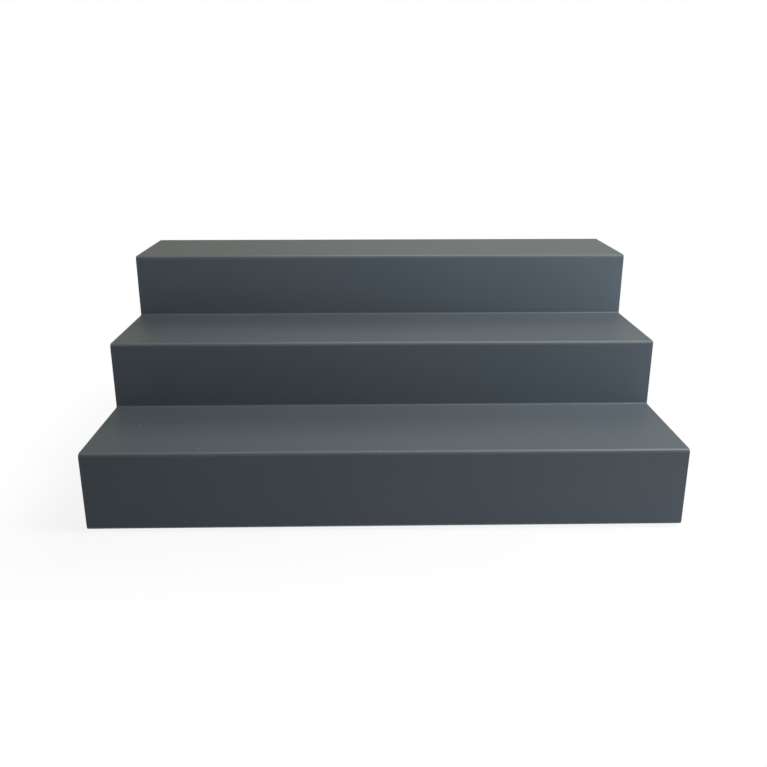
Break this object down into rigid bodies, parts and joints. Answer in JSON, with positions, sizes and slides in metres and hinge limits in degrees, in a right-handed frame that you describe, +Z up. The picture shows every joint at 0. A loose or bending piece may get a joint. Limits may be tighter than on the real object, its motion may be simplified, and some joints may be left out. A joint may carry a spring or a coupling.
{
  "type": "collectible display stand",
  "caption": "Stair-shaped display stand folded from powder-coated sheet steel, with closed ends and back, open underneath, that shows collectibles on its treads.",
  "frame": {"origin": "on the surface the stand rests on, under the middle of its overall box, the screw heads at the back included", "axes": "+X to the right along the treads as seen from the front, +Y from the front to the back, +Z up"},
  "size_m": [0.305, 0.2055, 0.1181],
  "materials": {
    "powder_coat": "satin slate grey powder coat",
    "zinc": "bright zinc plate",
    "rubber": "matte black"
  },
  "bodies": {
    "root": {"step_sheet": "powder_coat", "left_end_panel": "powder_coat", "right_end_panel": "powder_coat", "back_panel": "powder_coat", "left_weld_studs": "zinc", "right_weld_studs": "zinc", "left_flange_nuts": "zinc", "right_flange_nuts": "zinc", "front_rivets": "zinc", "left_clinch_nuts": "zinc", "right_clinch_nuts": "zinc", "back_screws": "zinc", "front_left_foot": "rubber", "front_right_foot": "rubber", "rear_left_foot": "rubber", "rear_right_foot": "rubber"}
  },
  "joints": []
}
